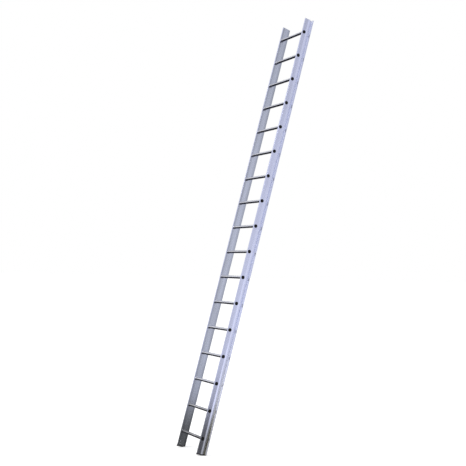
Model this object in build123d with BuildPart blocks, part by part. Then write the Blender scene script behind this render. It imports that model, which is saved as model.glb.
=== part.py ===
"""One section of an aluminium extension ladder: two stiles, hollow rungs swaged through them, feet and end caps.

The ladder is drawn upright: X runs across it, Y back through its depth from the climber's side, and Z up the
stiles from their lower ends. lean() then tips every piece back to the working angle and stands it on the floor.
Lengths are in millimetres and angles in degrees.
"""

from build123d import *

import os
from math import cos, radians, sin, tan

# Driving dimensions of the ladder.
LEAN = 15.0  # from the vertical: the working angle of 75 degrees to the floor
RUNG_COUNT = 17
RUNG_PITCH = 250.0
CLEAR_WIDTH = 370.0  # between the stiles' inner faces
FIRST_RUNG = 135.0  # lower end of the stiles to the first rung's axis
TOP_REACH = 140.0  # last rung's axis to the upper end of the stiles

# Stile: a hollow box at the front carries the rungs, and a hollow flange at the back gives it a wide
# flat face. A thinner neck joins them, and leaves a guide groove down the outside.
STILE_DEPTH = 83.0
BOX_THICK = 14.0
BOX_DEPTH = 51.0
BOX_WALL = 1.6
BOX_END_WALL = 2.2
RIDGE_HEIGHT = 6.0  # a shoulder that rises along the box's outer face, up to the groove
RIDGE_START = 35.8
RIDGE_FLAT = 1.2
NECK_THICK = 11.0
FLANGE_START = 68.0
FLANGE_REACH = 38.0
FLANGE_EDGE = 3.4
FLANGE_WALL = 1.6
DIE_LINE_RADIUS = 0.5
DIE_LINES = (4.0, 36.0, 56.0, 78.0)  # depths of the fine lines along the inner face
STILE_EDGE_RADIUS = 0.5

# Rung: a fluted tube, beaded against the inner face and flared over the outer face.
RUNG_RADIUS = 14.0
RUNG_BORE_RADIUS = 12.1
RUNG_DEPTH = 19.2  # from the stile's front face to the rung's axis
FLUTE_COUNT = 24
FLUTE_RADIUS = 0.4
BEAD_RADIUS = 17.6
BEAD_WIDTH = 4.0
BEAD_ROUND = 1.8
BEAD_BACK_ROUND = 0.9
FLARE_RADIUS = 15.6
FLARE_WIDTH = 1.8
FLARE_ROUND = 0.7
MOUTH_CHAMFER = 0.9

# Rung plug: a plastic stopper over each open end of a rung.
PLUG_HEAD_RADIUS = 16.4
PLUG_HEAD_HEIGHT = 2.6
PLUG_HEAD_ROUND = 1.8
PLUG_SHANK_RADIUS = 12.0
PLUG_SHANK_LENGTH = 12.0
PLUG_SHANK_WALL = 2.0

# Foot: a rubber plug with a ribbed sole, and a heel cut to lie flat on the floor at the working angle.
SOLE = 9.5
SOLE_PROUD = 1.0
SOLE_FRONT = 4.0
HEEL_START = 53.0
FOOT_PLUG_HEIGHT = 52.0
PLUG_CLEARANCE = 0.15
PLUG_ROUND = 0.6
TREAD_WIDTH = 2.4
TREAD_CUT = 2.0
TREAD_DEPTHS = (4.0, 13.0, 22.0, 31.0, 40.0, 49.0)
SOLE_RADIUS = 2.0

# End cap at the top of each stile.
CAP = 2.5
CAP_PROUD = 0.5
CAP_PLUG_HEIGHT = 30.0
CAP_ROUND = 0.7

# Blind rivets through the stile's inner wall into the plugs.
RIVET_RADIUS = 2.4
RIVET_HEAD_RADIUS = 4.8
RIVET_HEAD_HEIGHT = 1.7
RIVET_HEAD_ROUND = 1.3
RIVET_DEPTH = 9.0
FOOT_RIVET_HEIGHTS = (18.0, 40.0)
CAP_RIVET_DROP = 16.0  # below the stile's upper end

# Worked out from the above.
STILE_LENGTH = FIRST_RUNG + (RUNG_COUNT - 1) * RUNG_PITCH + TOP_REACH
INNER_X = CLEAR_WIDTH / 2
OUTER_X = INNER_X + BOX_THICK
NECK_X = INNER_X + NECK_THICK
REACH_X = INNER_X + FLANGE_REACH
SOLE_BACK = STILE_DEPTH + SOLE_PROUD
CAVITY = (BOX_THICK - 2 * BOX_WALL, BOX_DEPTH - 2 * BOX_END_WALL)
CAVITY_CENTRE = (INNER_X + BOX_THICK / 2, BOX_DEPTH / 2)
RIVET_HEIGHTS = (*FOOT_RIVET_HEIGHTS, STILE_LENGTH - CAP_RIVET_DROP)
CORNER = (Align.MIN, Align.MIN)


def lean(piece):
    """Tips a piece back about the X axis and sets the middle of the heels on the origin."""
    heel_depth = (HEEL_START + SOLE_BACK) / 2
    heel_height = -SOLE + (heel_depth - HEEL_START) * tan(radians(LEAN))
    back = heel_depth * cos(radians(LEAN)) + heel_height * sin(radians(LEAN))
    down = heel_height * cos(radians(LEAN)) - heel_depth * sin(radians(LEAN))
    return piece.rotate(Axis.X, -LEAN).translate((0, -back, -down))


def write(piece, name):
    """Writes one piece, leaned back, as the node called name."""
    leaned = lean(piece)
    leaned.label = name
    export_step(leaned, f"parts/{name}.step")


def write_pair(piece, name):
    """Writes the right-hand piece and its mirror image on the left."""
    write(piece, f"right_{name}")
    write(mirror(piece, about=Plane.YZ), f"left_{name}")


def rivet_spots(heights):
    """Places on the right stile's inner face, with local Z pointing outwards along +X."""
    return [Location((INNER_X, RUNG_DEPTH, z), (0, 90, 0)) for z in heights]


def stile_outline():
    """The outside of the right stile's section."""
    with BuildSketch() as outline:
        with BuildLine():
            Polyline(
                (INNER_X, 0),
                (OUTER_X, 0),
                (OUTER_X, RIDGE_START),
                (OUTER_X + RIDGE_HEIGHT, BOX_DEPTH - RIDGE_FLAT),
                (OUTER_X + RIDGE_HEIGHT, BOX_DEPTH),
                (NECK_X, BOX_DEPTH),
                (NECK_X, FLANGE_START),
                (REACH_X, STILE_DEPTH - FLANGE_EDGE),
                (REACH_X, STILE_DEPTH),
                (INNER_X, STILE_DEPTH),
                close=True,
            )
        make_face()
        fillet(outline.vertices(), STILE_EDGE_RADIUS)
    return outline.sketch


def flange_hollow():
    """The hollow that runs through neck and flange, one wall's thickness inside their outline."""
    with BuildSketch() as hollow:
        with BuildLine():
            Polyline(
                (INNER_X, BOX_DEPTH - FLANGE_WALL),
                (NECK_X, BOX_DEPTH - FLANGE_WALL),
                (NECK_X, FLANGE_START),
                (REACH_X, STILE_DEPTH - FLANGE_EDGE),
                (REACH_X, STILE_DEPTH),
                (INNER_X, STILE_DEPTH),
                close=True,
            )
        make_face()
        offset(amount=-FLANGE_WALL, kind=Kind.INTERSECTION, mode=Mode.REPLACE)
    return hollow.sketch


def make_stile():
    """The right stile: box, neck and flange, with the holes for rungs and rivets."""
    with BuildPart() as stile:
        with BuildSketch():
            add(stile_outline())
            add(flange_hollow(), mode=Mode.SUBTRACT)
            with Locations(CAVITY_CENTRE):
                RectangleRounded(*CAVITY, STILE_EDGE_RADIUS, mode=Mode.SUBTRACT)
            with Locations(*[(INNER_X, y) for y in DIE_LINES]):
                Circle(DIE_LINE_RADIUS, mode=Mode.SUBTRACT)
        extrude(amount=STILE_LENGTH)
        rungs = [FIRST_RUNG + i * RUNG_PITCH for i in range(RUNG_COUNT)]
        with Locations(*[Location((OUTER_X, RUNG_DEPTH, z), (0, 90, 0)) for z in rungs]):
            Cylinder(RUNG_RADIUS, 3 * BOX_THICK, mode=Mode.SUBTRACT)
        with Locations(*rivet_spots(RIVET_HEIGHTS)):
            Cylinder(RIVET_RADIUS, BOX_THICK, mode=Mode.SUBTRACT)
    return stile.part


def make_rung():
    """The first rung: fluted between the stiles, with a bead and a flared end at each side."""
    bead_start = INNER_X - BEAD_WIDTH
    flare_end = OUTER_X + FLARE_WIDTH
    with BuildPart() as rung:
        with BuildSketch(Plane.YZ.offset(-bead_start)):
            Circle(RUNG_RADIUS)
            with PolarLocations(RUNG_RADIUS, FLUTE_COUNT):
                Circle(FLUTE_RADIUS, mode=Mode.SUBTRACT)
        extrude(amount=2 * bead_start)
        with BuildSketch(Plane.XZ) as swage:
            with Locations((bead_start, 0)):
                Rectangle(BEAD_WIDTH, BEAD_RADIUS, align=CORNER)
            fillet(swage.vertices().group_by(Axis.Y)[-1].sort_by(Axis.X)[0], BEAD_ROUND)
            fillet(swage.vertices().group_by(Axis.Y)[-1].sort_by(Axis.X)[-1], BEAD_BACK_ROUND)
            with Locations((INNER_X, 0)):
                Rectangle(flare_end - INNER_X, RUNG_RADIUS, align=CORNER)
            with Locations((OUTER_X, 0)):
                Rectangle(FLARE_WIDTH, FLARE_RADIUS, align=CORNER)
            fillet(swage.vertices().group_by(Axis.X)[-1].sort_by(Axis.Y)[-1], FLARE_ROUND)
        revolve(axis=Axis.X)
        mirror(about=Plane.YZ)
        with Locations(Location((0, 0, 0), (0, 90, 0))):
            Cylinder(RUNG_BORE_RADIUS, 2 * flare_end, mode=Mode.SUBTRACT)
        ends = rung.faces().sort_by(Axis.X)
        mouths = [end.inner_wires()[0].edge() for end in (ends[0], ends[-1])]
        chamfer(mouths, MOUTH_CHAMFER)
    return rung.part.translate((0, RUNG_DEPTH, FIRST_RUNG))


def make_rung_plug():
    """The stopper in the first rung's right-hand end: a domed head and a hollow shank."""
    mouth = OUTER_X + FLARE_WIDTH
    with BuildPart() as plug:
        with Locations(Location((mouth, 0, 0), (0, 90, 0))):
            Cylinder(PLUG_HEAD_RADIUS, PLUG_HEAD_HEIGHT, align=(Align.CENTER, Align.CENTER, Align.MIN))
        fillet(plug.edges().group_by(Axis.X)[-1], PLUG_HEAD_ROUND)
        with Locations(Location((mouth, 0, 0), (0, 90, 0))):
            Cylinder(PLUG_SHANK_RADIUS, PLUG_SHANK_LENGTH, align=(Align.CENTER, Align.CENTER, Align.MAX))
        with Locations(Location((mouth, 0, 0), (0, 90, 0))):
            Cylinder(
                PLUG_SHANK_RADIUS - PLUG_SHANK_WALL,
                PLUG_SHANK_LENGTH,
                align=(Align.CENTER, Align.CENTER, Align.MAX),
                mode=Mode.SUBTRACT,
            )
    return plug.part.translate((0, RUNG_DEPTH, FIRST_RUNG))


def sole_outline():
    """The foot's sole: a little proud of the stile, and straight across the mouth of the groove."""
    with BuildSketch() as outline:
        with BuildLine():
            Polyline(
                (INNER_X - SOLE_PROUD, -SOLE_FRONT),
                (OUTER_X + SOLE_PROUD, -SOLE_FRONT),
                (OUTER_X + RIDGE_HEIGHT, BOX_DEPTH),
                (REACH_X + SOLE_PROUD, STILE_DEPTH - FLANGE_EDGE),
                (REACH_X + SOLE_PROUD, SOLE_BACK),
                (INNER_X - SOLE_PROUD, SOLE_BACK),
                close=True,
            )
        make_face()
        fillet(outline.vertices(), SOLE_RADIUS)
    return outline.sketch


def plug_outline():
    """The part of a foot or cap that goes up or down the stile's box."""
    with BuildSketch() as outline:
        with Locations(CAVITY_CENTRE):
            RectangleRounded(CAVITY[0] - 2 * PLUG_CLEARANCE, CAVITY[1] - 2 * PLUG_CLEARANCE, STILE_EDGE_RADIUS)
    return outline.sketch


def make_foot():
    """The right foot: sole, heel facet, treads, and the plug that goes up the stile's box."""
    heel = Plane(
        origin=(INNER_X, HEEL_START, -SOLE),
        x_dir=(1, 0, 0),
        z_dir=(0, -sin(radians(LEAN)), cos(radians(LEAN))),
    )
    with BuildPart() as foot:
        add(sole_outline())
        extrude(amount=-SOLE)
        split(bisect_by=heel, keep=Keep.TOP)
        with Locations(*[(INNER_X, y, -SOLE) for y in TREAD_DEPTHS]):
            Box(3 * FLANGE_REACH, TREAD_WIDTH, 2 * TREAD_CUT, mode=Mode.SUBTRACT)
        add(plug_outline())
        extrude(amount=FOOT_PLUG_HEIGHT)
        fillet(foot.edges().group_by(Axis.Z)[-1], PLUG_ROUND)
        with Locations(*rivet_spots(FOOT_RIVET_HEIGHTS)):
            Cylinder(RIVET_RADIUS, 2 * RIVET_DEPTH, mode=Mode.SUBTRACT)
    return foot.part


def make_cap():
    """The right end cap: a thin lid in the stile's own outline, with a plug into the box."""
    with BuildPart() as cap:
        with BuildSketch():
            add(stile_outline())
            offset(amount=CAP_PROUD, kind=Kind.ARC, mode=Mode.REPLACE)
        extrude(amount=CAP)
        fillet(cap.edges().group_by(Axis.Z)[-1], CAP_ROUND)
        add(plug_outline())
        extrude(amount=-CAP_PLUG_HEIGHT)
        with Locations(*rivet_spots([-CAP_RIVET_DROP])):
            Cylinder(RIVET_RADIUS, 2 * RIVET_DEPTH, mode=Mode.SUBTRACT)
    return cap.part.translate((0, 0, STILE_LENGTH))


def make_rivets():
    """Blind rivets set in the right stile's inner face, their domed heads towards the rungs."""
    with BuildPart() as rivets:
        with Locations(*rivet_spots(RIVET_HEIGHTS)):
            Cylinder(RIVET_RADIUS, RIVET_DEPTH, align=(Align.CENTER, Align.CENTER, Align.MIN))
            Cylinder(RIVET_HEAD_RADIUS, RIVET_HEAD_HEIGHT, align=(Align.CENTER, Align.CENTER, Align.MAX))
        fillet(rivets.edges().group_by(Axis.X)[0], RIVET_HEAD_ROUND)
    return rivets.part


def main():
    os.makedirs("parts", exist_ok=True)
    write_pair(make_stile(), "stile")
    rung = make_rung()
    plug = make_rung_plug()
    for i in range(RUNG_COUNT):
        write(rung.translate((0, 0, i * RUNG_PITCH)), f"rung_{i + 1:02d}")
        write_pair(plug.translate((0, 0, i * RUNG_PITCH)), f"rung_plug_{i + 1:02d}")
    write_pair(make_foot(), "foot")
    write_pair(make_cap(), "end_cap")
    write_pair(make_rivets(), "rivets")


main()
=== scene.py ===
"""Looks for one section of an aluminium extension ladder, on a plain pale studio floor."""

import math

import bpy
from mathutils import Matrix, Vector

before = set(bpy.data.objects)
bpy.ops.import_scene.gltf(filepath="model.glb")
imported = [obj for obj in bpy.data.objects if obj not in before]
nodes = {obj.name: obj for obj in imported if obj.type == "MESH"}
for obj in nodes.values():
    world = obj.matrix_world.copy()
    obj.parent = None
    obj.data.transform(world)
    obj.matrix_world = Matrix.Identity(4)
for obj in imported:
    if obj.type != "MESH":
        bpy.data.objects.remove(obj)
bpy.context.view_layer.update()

LEAN = math.radians(15)  # the ladder's tilt from the vertical
RUNG_COUNT = 17

# Places on the stiles, in metres, once they are stood upright. Depth (Y) runs from the climber's side
# to the wall, and across (X) runs outwards from the ladder's middle plane.
STILE_FRONT = -0.0685
STILE_MIDDLE = STILE_FRONT + 0.0415
STILE_BACK = STILE_FRONT + 0.083
BOX_BACK = STILE_FRONT + 0.051  # the groove begins here, with the flange behind it
GROOVE_FLOOR = 0.196
FLANGE_TIP = 0.223

# Directions for the studio world: +X is the climber's right and +Y is behind the ladder.
UP = (0, 0, 1)
LEFT = (-1, 0, 0)
FRONT_LEFT = (-0.859, -0.512, 0)
FRONT_RIGHT = (0.5, -0.866, 0)
BACK_RIGHT = (0.859, 0.512, 0)
LOW_BACK_RIGHT = (0.84, 0.5, -0.21)
RIDGE_SIDE = (0.94, -0.342, 0)  # what the near stile's ridge mirrors in the main view
CLIMBER_SIDE = (-0.31, -0.93, 0.2)


# ---------------------------------------------------------------- node helpers
def math_node(tree, operation, a, b=0.0):
    """A Math node's result. Each operand is a socket or a plain number."""
    node = tree.nodes.new("ShaderNodeMath")
    node.operation = operation
    for socket, value in zip(node.inputs, (a, b)):
        if isinstance(value, (int, float)):
            socket.default_value = value
        else:
            tree.links.new(value, socket)
    return node.outputs["Value"]


def ramp_node(tree, value, low, high, to_low, to_high):
    """A smooth step from to_low to to_high as value goes from low to high."""
    node = tree.nodes.new("ShaderNodeMapRange")
    node.interpolation_type = "SMOOTHSTEP"
    node.inputs["From Min"].default_value = low
    node.inputs["From Max"].default_value = high
    node.inputs["To Min"].default_value = to_low
    node.inputs["To Max"].default_value = to_high
    tree.links.new(value, node.inputs["Value"])
    return node.outputs["Result"]


class Graph:
    """Builds one material's node tree, with coordinates that run along the stiles."""

    def __init__(self, name):
        self.material = bpy.data.materials.new(name)
        self.material.use_nodes = True
        self.tree = self.material.node_tree
        self.tree.nodes.clear()
        self.shader = self.tree.nodes.new("ShaderNodeBsdfPrincipled")
        output = self.tree.nodes.new("ShaderNodeOutputMaterial")
        self.link(self.shader.outputs["BSDF"], output.inputs["Surface"])
        place = self.tree.nodes.new("ShaderNodeTexCoord")
        tilt = self.tree.nodes.new("ShaderNodeVectorRotate")
        tilt.rotation_type = "X_AXIS"
        tilt.inputs["Angle"].default_value = LEAN
        self.link(place.outputs["Object"], tilt.inputs["Vector"])
        self.untilted = place.outputs["Object"]
        self.along = tilt.outputs["Vector"]
        self.normal = place.outputs["Normal"]

    def link(self, source, target):
        self.tree.links.new(source, target)

    def stretched(self, factors):
        scale = self.tree.nodes.new("ShaderNodeVectorMath")
        scale.operation = "MULTIPLY"
        self.link(self.along, scale.inputs[0])
        scale.inputs[1].default_value = factors
        return scale.outputs["Vector"]

    def noise(self, factors, detail=4.0, rough=0.55, seed=0.0):
        node = self.tree.nodes.new("ShaderNodeTexNoise")
        node.noise_dimensions = "4D"
        node.inputs["W"].default_value = seed
        node.inputs["Scale"].default_value = 1.0
        node.inputs["Detail"].default_value = detail
        node.inputs["Roughness"].default_value = rough
        self.link(self.stretched(factors), node.inputs["Vector"])
        return node.outputs["Fac"]

    def ramp(self, value, low, high, to_low=0.0, to_high=1.0):
        return ramp_node(self.tree, value, low, high, to_low, to_high)

    def outside(self, mask):
        return self.ramp(mask, 0.0, 1.0, 1.0, 0.0)

    def math(self, operation, a, b=0.0):
        return math_node(self.tree, operation, a, b)

    def both(self, first, second):
        return self.math("MULTIPLY", first, second)

    def axis(self, name, vector=None):
        node = self.tree.nodes.new("ShaderNodeSeparateXYZ")
        self.link(vector or self.along, node.inputs["Vector"])
        return node.outputs[name]

    def mix(self, factor, first, second, blend="MIX"):
        node = self.tree.nodes.new("ShaderNodeMix")
        node.data_type = "RGBA"
        node.blend_type = blend
        sockets = (node.inputs[0], node.inputs[6], node.inputs[7])  # the factor and the two colours
        for socket, value in zip(sockets, (factor, first, second)):
            if isinstance(value, (int, float)):
                socket.default_value = value
            elif isinstance(value, tuple):
                socket.default_value = (*value, 1.0)
            else:
                self.link(value, socket)
        return node.outputs[2]

    def bump(self, height, strength, distance, under=None):
        node = self.tree.nodes.new("ShaderNodeBump")
        node.inputs["Strength"].default_value = strength
        node.inputs["Distance"].default_value = distance
        self.link(height, node.inputs["Height"])
        if under is not None:
            self.link(under, node.inputs["Normal"])
        return node.outputs["Normal"]

    def finish(self, color, roughness, normal, metallic=0.0, **sockets):
        self.link(color, self.shader.inputs["Base Color"])
        self.link(roughness, self.shader.inputs["Roughness"])
        self.link(normal, self.shader.inputs["Normal"])
        self.shader.inputs["Metallic"].default_value = metallic
        for name, value in sockets.items():
            self.shader.inputs[name.replace("_", " ")].default_value = value
        return self.material


# ------------------------------------------------------------------- materials
def stile_aluminium():
    """Drawn metal, dulled in patches, with painted shade low down and on the inner faces, and painted
    light and shade round the guide groove.
    """
    g = Graph("stile_aluminium")
    die_lines = g.noise((900, 900, 1.3), detail=3, seed=1)
    bands = g.noise((130, 130, 0.5), detail=2, seed=2)
    clouds = g.noise((14, 14, 3.2), detail=5, seed=3)
    scuffs = g.ramp(g.noise((220, 60, 9), detail=6, rough=0.7, seed=4), 0.66, 0.74)

    depth = g.axis("Y")
    height = g.axis("Z")
    across = g.math("ABSOLUTE", g.axis("X"))
    from_middle = g.math("ABSOLUTE", g.math("SUBTRACT", depth, STILE_MIDDLE))
    faces_outwards = g.both(g.axis("X"), g.axis("X", g.normal))  # negative on the inner faces
    inner = g.ramp(faces_outwards, -0.05, -0.15)
    # painted shade mask: the inner faces near their front and back edges
    inner_edge_shade = g.both(inner, g.ramp(from_middle, 0.010, 0.043))
    flange = g.both(g.ramp(depth, BOX_BACK - 0.0003, BOX_BACK), g.outside(inner))
    short_of_tip = g.ramp(across, FLANGE_TIP - 0.005, FLANGE_TIP - 0.015)
    short_of_back = g.ramp(depth, STILE_BACK - 0.0017, STILE_BACK - 0.0027)
    groove = g.both(flange, g.both(short_of_back, short_of_tip))  # with the flange's front wall
    lip = g.both(flange, g.outside(groove))
    # Painted shade: the stile darker low down, less so on the lip.
    low = g.both(g.ramp(height, 0.55, 0.10), g.ramp(lip, 0.0, 1.0, 1.0, 0.65))
    low_flange = g.both(flange, g.ramp(height, 1.3, 0.3))

    # Painted light on the groove's flange wall and painted shade on its floor.
    groove_wall = (0.84, 0.86, 0.95)
    groove_floor = (0.63, 0.66, 0.85)
    on_floor = g.ramp(across, GROOVE_FLOOR + 0.0010, GROOVE_FLOOR + 0.0005)
    groove_light_and_shade = g.mix(on_floor, groove_wall, groove_floor)
    color = g.mix(g.ramp(die_lines, 0.3, 0.7), (0.51, 0.545, 0.75), (0.58, 0.61, 0.82))
    color = g.mix(g.ramp(bands, 0.38, 0.62, 0.0, 0.45), color, (0.44, 0.46, 0.60))
    color = g.mix(g.ramp(clouds, 0.4, 0.75, 0.0, 0.35), color, (0.44, 0.45, 0.56))
    # Painted shade on the inner faces, deeper towards their front and back edges.
    color = g.mix(inner, color, (0.90, 0.91, 0.84), "MULTIPLY")
    color = g.mix(inner_edge_shade, color, (0.70, 0.70, 0.70), "MULTIPLY")
    color = g.mix(groove, color, groove_light_and_shade)
    # painted shade low down
    color = g.mix(low, color, (0.47, 0.46, 0.40), "MULTIPLY")
    color = g.mix(g.both(scuffs, 0.5), color, (0.74, 0.75, 0.82))
    color = g.mix(low_flange, color, (1.0, 0.98, 0.90), "MULTIPLY")
    rough = g.math("ADD", g.ramp(clouds, 0.3, 0.8, 0.15, 0.24), g.ramp(die_lines, 0.3, 0.7, 0.0, 0.07))
    relief = g.bump(die_lines, 0.15, 0.0002)
    relief = g.bump(scuffs, 0.2, 0.0002, relief)
    return g.finish(color, rough, relief, metallic=0.95, Anisotropic=0.35)


def middle_height(name):
    """The height of a node's middle, from its bounding box."""
    corners = nodes[name].bound_box
    return sum(corner[2] for corner in corners) / len(corners)


def rung_aluminium():
    """Fluted metal, worn bright at mid-width, with painted shade low down and below each rung's own axis.
    """
    g = Graph("rung_aluminium")
    first = middle_height("rung_01")
    pitch = middle_height("rung_02") - first
    climb = g.math("SUBTRACT", g.axis("Z", g.untilted), first - pitch / 2)
    within = g.math("FRACT", g.math("DIVIDE", climb, pitch))  # 0.5 at each rung's axis
    # Painted shade below each rung's axis.
    painted_underside_shade = g.ramp(within, 0.510, 0.485)
    draw_lines = g.noise((1.6, 1100, 1100), detail=3, seed=11)
    clouds = g.noise((16, 40, 40), detail=5, seed=12)
    worn = g.ramp(g.noise((9, 70, 70), detail=6, rough=0.7, seed=13), 0.52, 0.66)
    middle = g.ramp(g.math("ABSOLUTE", g.axis("X")), 0.165, 0.06)
    # Painted shade: the rungs darker low down.
    low = g.ramp(g.axis("Z"), 0.60, 0.25)
    color = g.mix(g.ramp(draw_lines, 0.3, 0.7), (0.64, 0.65, 0.73), (0.74, 0.75, 0.82))
    color = g.mix(g.ramp(clouds, 0.35, 0.75, 0.0, 0.4), color, (0.50, 0.51, 0.58))
    color = g.mix(low, color, (0.43, 0.425, 0.41), "MULTIPLY")
    color = g.mix(painted_underside_shade, color, (0.34, 0.34, 0.37), "MULTIPLY")
    color = g.mix(g.both(g.both(worn, middle), 0.5), color, (0.80, 0.80, 0.84))
    rough = g.math("ADD", g.ramp(clouds, 0.3, 0.8, 0.13, 0.22), g.ramp(worn, 0.0, 1.0, 0.0, 0.06))
    relief = g.bump(draw_lines, 0.15, 0.0002)
    return g.finish(color, rough, relief, metallic=1.0)


def plug_plastic():
    g = Graph("plug_plastic")
    grain = g.noise((900, 900, 900), detail=3, seed=21)
    dust = g.noise((60, 60, 60), detail=5, seed=22)
    color = g.mix(g.ramp(dust, 0.4, 0.8), (0.003, 0.003, 0.004), (0.010, 0.010, 0.011))
    rough = g.ramp(dust, 0.3, 0.8, 0.50, 0.68)
    return g.finish(color, rough, g.bump(grain, 0.25, 0.0002), Specular_IOR_Level=0.2)


def foot_rubber():
    g = Graph("foot_rubber")
    grain = g.noise((600, 600, 600), detail=4, seed=31)
    dust = g.noise((45, 45, 45), detail=6, rough=0.65, seed=32)
    color = g.mix(g.ramp(dust, 0.42, 0.75), (0.010, 0.009, 0.009), (0.040, 0.036, 0.033))
    return g.finish(color, g.ramp(dust, 0.3, 0.8, 0.70, 0.88), g.bump(grain, 0.4, 0.0004))


def cap_plastic():
    g = Graph("cap_plastic")
    grain = g.noise((800, 800, 800), detail=3, seed=41)
    tone = g.noise((30, 30, 30), detail=5, seed=42)
    color = g.mix(g.ramp(tone, 0.35, 0.7), (0.42, 0.43, 0.52), (0.50, 0.51, 0.60))
    return g.finish(color, g.ramp(tone, 0.3, 0.8, 0.45, 0.60), g.bump(grain, 0.3, 0.0002))


def rivet_metal():
    g = Graph("rivet_metal")
    grain = g.noise((1500, 1500, 1500), detail=3, seed=51)
    tone = g.noise((160, 160, 160), detail=4, seed=52)
    color = g.mix(g.ramp(tone, 0.35, 0.7), (0.40, 0.41, 0.46), (0.52, 0.52, 0.58))
    return g.finish(color, g.ramp(tone, 0.3, 0.8, 0.30, 0.45), g.bump(grain, 0.2, 0.0002), metallic=1.0)


def wear(material, *names):
    """Gives each named node this material alone."""
    for name in names:
        data = nodes[name].data
        data.materials.clear()
        data.materials.append(material)


numbers = [f"{i + 1:02d}" for i in range(RUNG_COUNT)]
rungs = [f"rung_{number}" for number in numbers]
plugs = [f"{side}_rung_plug_{number}" for side in ("left", "right") for number in numbers]
wear(stile_aluminium(), "left_stile", "right_stile")
wear(rung_aluminium(), *rungs)
wear(plug_plastic(), *plugs)
wear(foot_rubber(), "left_foot", "right_foot")
wear(cap_plastic(), "left_end_cap", "right_end_cap")
wear(rivet_metal(), "left_rivets", "right_rivets")


# ------------------------------------------------------- floor, light and camera
def make_floor():
    """A wide pale floor. It doesn't show in reflections, where the world stands in for it."""
    bpy.ops.mesh.primitive_circle_add(vertices=96, radius=120, fill_type="NGON")
    floor = bpy.context.object
    floor.name = "floor"
    floor.visible_glossy = False
    material = bpy.data.materials.new("floor_paint")
    material.use_nodes = True
    shader = material.node_tree.nodes["Principled BSDF"]
    shader.inputs["Base Color"].default_value = (0.93, 0.93, 0.935, 1)
    shader.inputs["Roughness"].default_value = 0.9
    shader.inputs["Specular IOR Level"].default_value = 0.0
    shader.inputs["Emission Color"].default_value = (1, 1, 1, 1)
    shader.inputs["Emission Strength"].default_value = 0.2
    floor.data.materials.append(material)


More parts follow.
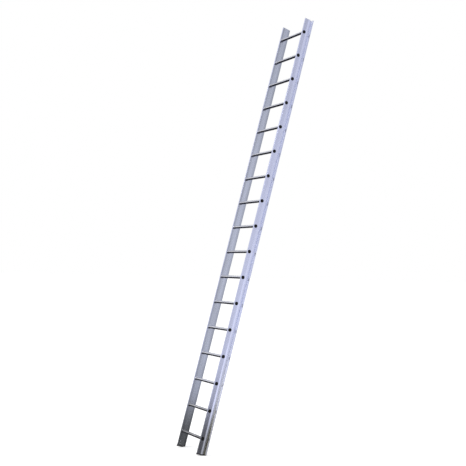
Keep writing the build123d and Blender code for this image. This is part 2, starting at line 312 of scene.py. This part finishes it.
def make_world():
    """A studio that is pale above and dark below, as the metal sees it.

    Reflectors and dark areas stand in set directions, to give the stiles' faces different tones. The
    camera itself sees plain white behind the ladder.
    """
    world = bpy.data.worlds.new("studio")
    bpy.context.scene.world = world
    world.use_nodes = True
    tree = world.node_tree
    view = tree.nodes.new("ShaderNodeTexCoord").outputs["Generated"]

    def facing(direction):
        dot = tree.nodes.new("ShaderNodeVectorMath")
        dot.operation = "DOT_PRODUCT"
        dot.inputs[1].default_value = direction
        tree.links.new(view, dot.inputs[0])
        return dot.outputs["Value"]

    def towards(direction, low, high, to_low, to_high):
        return ramp_node(tree, facing(direction), low, high, to_low, to_high)

    def combine(operation, a, b):
        return math_node(tree, operation, a, b)

    # The height at which the pale part begins is moved up or down by direction.
    rise = facing(UP)
    rise = combine("ADD", rise, towards(FRONT_RIGHT, 0.1, 0.9, 0, 0.5))
    rise = combine("ADD", rise, towards(LEFT, 0.2, 0.8, 0, -0.11))
    rise = combine("ADD", rise, towards(FRONT_LEFT, 0.75, 0.95, 0, -0.14))
    place = tree.nodes.new("ShaderNodeMapRange")
    place.inputs["From Min"].default_value = -1.0
    tree.links.new(rise, place.inputs["Value"])
    ramp = tree.nodes.new("ShaderNodeValToRGB")
    tree.links.new(place.outputs["Result"], ramp.inputs["Fac"])
    stops = ((-0.5, 0.01), (-0.3, 0.03), (-0.195, 0.14), (-0.14, 1.0), (1.0, 1.0))  # height, brightness
    elements = ramp.color_ramp.elements
    while len(elements) < len(stops):
        elements.new(0.5)
    for element, (height, brightness) in zip(elements, stops):
        element.position = (height + 1) / 2
        element.color = (brightness, brightness, brightness, 1)
    base = ramp.outputs["Color"]

    # Outside the shaded directions, the dark lower part is lifted to a mid grey at least.
    ring = combine("MULTIPLY", towards(LEFT, 0.64, 0.77, 0, 1), towards(LEFT, 0.90, 0.96, 1, 0))
    shaded = combine("MAXIMUM", towards(LOW_BACK_RIGHT, 0.90, 0.97, 0, 1), ring)
    lift = combine("SUBTRACT", towards(UP, -0.35, 0.05, 0.42, 1.0), base)
    lift = combine("MULTIPLY", combine("MAXIMUM", lift, 0.0), combine("SUBTRACT", 1.0, shaded))
    level = combine("ADD", base, lift)

    # A dimmer patch above on the back right, and two reflectors.
    above = towards(UP, 0.05, 0.3, 0, 1)
    level = combine("SUBTRACT", level, combine("MULTIPLY", above, towards(BACK_RIGHT, 0.8, 0.95, 0, 0.2)))
    level = combine("ADD", level, towards(RIDGE_SIDE, 0.955, 0.992, 0, 0.5))
    below = towards(UP, 0.45, 0.25, 0, 1)
    level = combine("ADD", level, combine("MULTIPLY", towards(CLIMBER_SIDE, 0.93, 0.98, 0, 0.6), below))

    camera_ray = tree.nodes.new("ShaderNodeLightPath").outputs["Is Camera Ray"]
    background = tree.nodes["Background"]
    background.inputs["Color"].default_value = (1, 1, 1, 1)
    tree.links.new(combine("MAXIMUM", level, camera_ray), background.inputs["Strength"])


def area_light(name, place, target, size, power):
    data = bpy.data.lights.new(name, "AREA")
    data.shape = "DISK"
    data.size = size
    data.energy = power
    lamp = bpy.data.objects.new(name, data)
    lamp.location = place
    lamp.rotation_euler = (Vector(target) - Vector(place)).to_track_quat("-Z", "Y").to_euler()
    bpy.context.scene.collection.objects.link(lamp)


def make_camera():
    """A view from the climber's right, at about eye height."""
    place = (6.6311, -3.5755, 1.6915)
    azimuth = math.radians(59.197)  # round to the right of the ladder's front
    pitch = math.radians(2.399)  # looking slightly up
    roll = math.radians(1.185)
    flat = math.cos(pitch)
    forward = Vector((-math.sin(azimuth) * flat, math.cos(azimuth) * flat, math.sin(pitch)))
    right = Vector((math.cos(azimuth), math.sin(azimuth), 0))
    up = right.cross(forward)
    across = right * math.cos(roll) + up * math.sin(roll)
    above = up * math.cos(roll) - right * math.sin(roll)
    data = bpy.data.cameras.new("camera")
    data.lens = 62.72
    data.sensor_width = 36
    camera = bpy.data.objects.new("camera", data)
    turn = Matrix((across, above, -forward)).transposed().to_4x4()
    camera.matrix_world = Matrix.Translation(place) @ turn
    bpy.context.scene.collection.objects.link(camera)
    bpy.context.scene.camera = camera


make_floor()
make_world()
area_light("key", place=(-3.5, -5.0, 7.0), target=(0, 0.5, 2), size=3.5, power=220)
make_camera()
bpy.context.scene.view_settings.view_transform = "Standard"
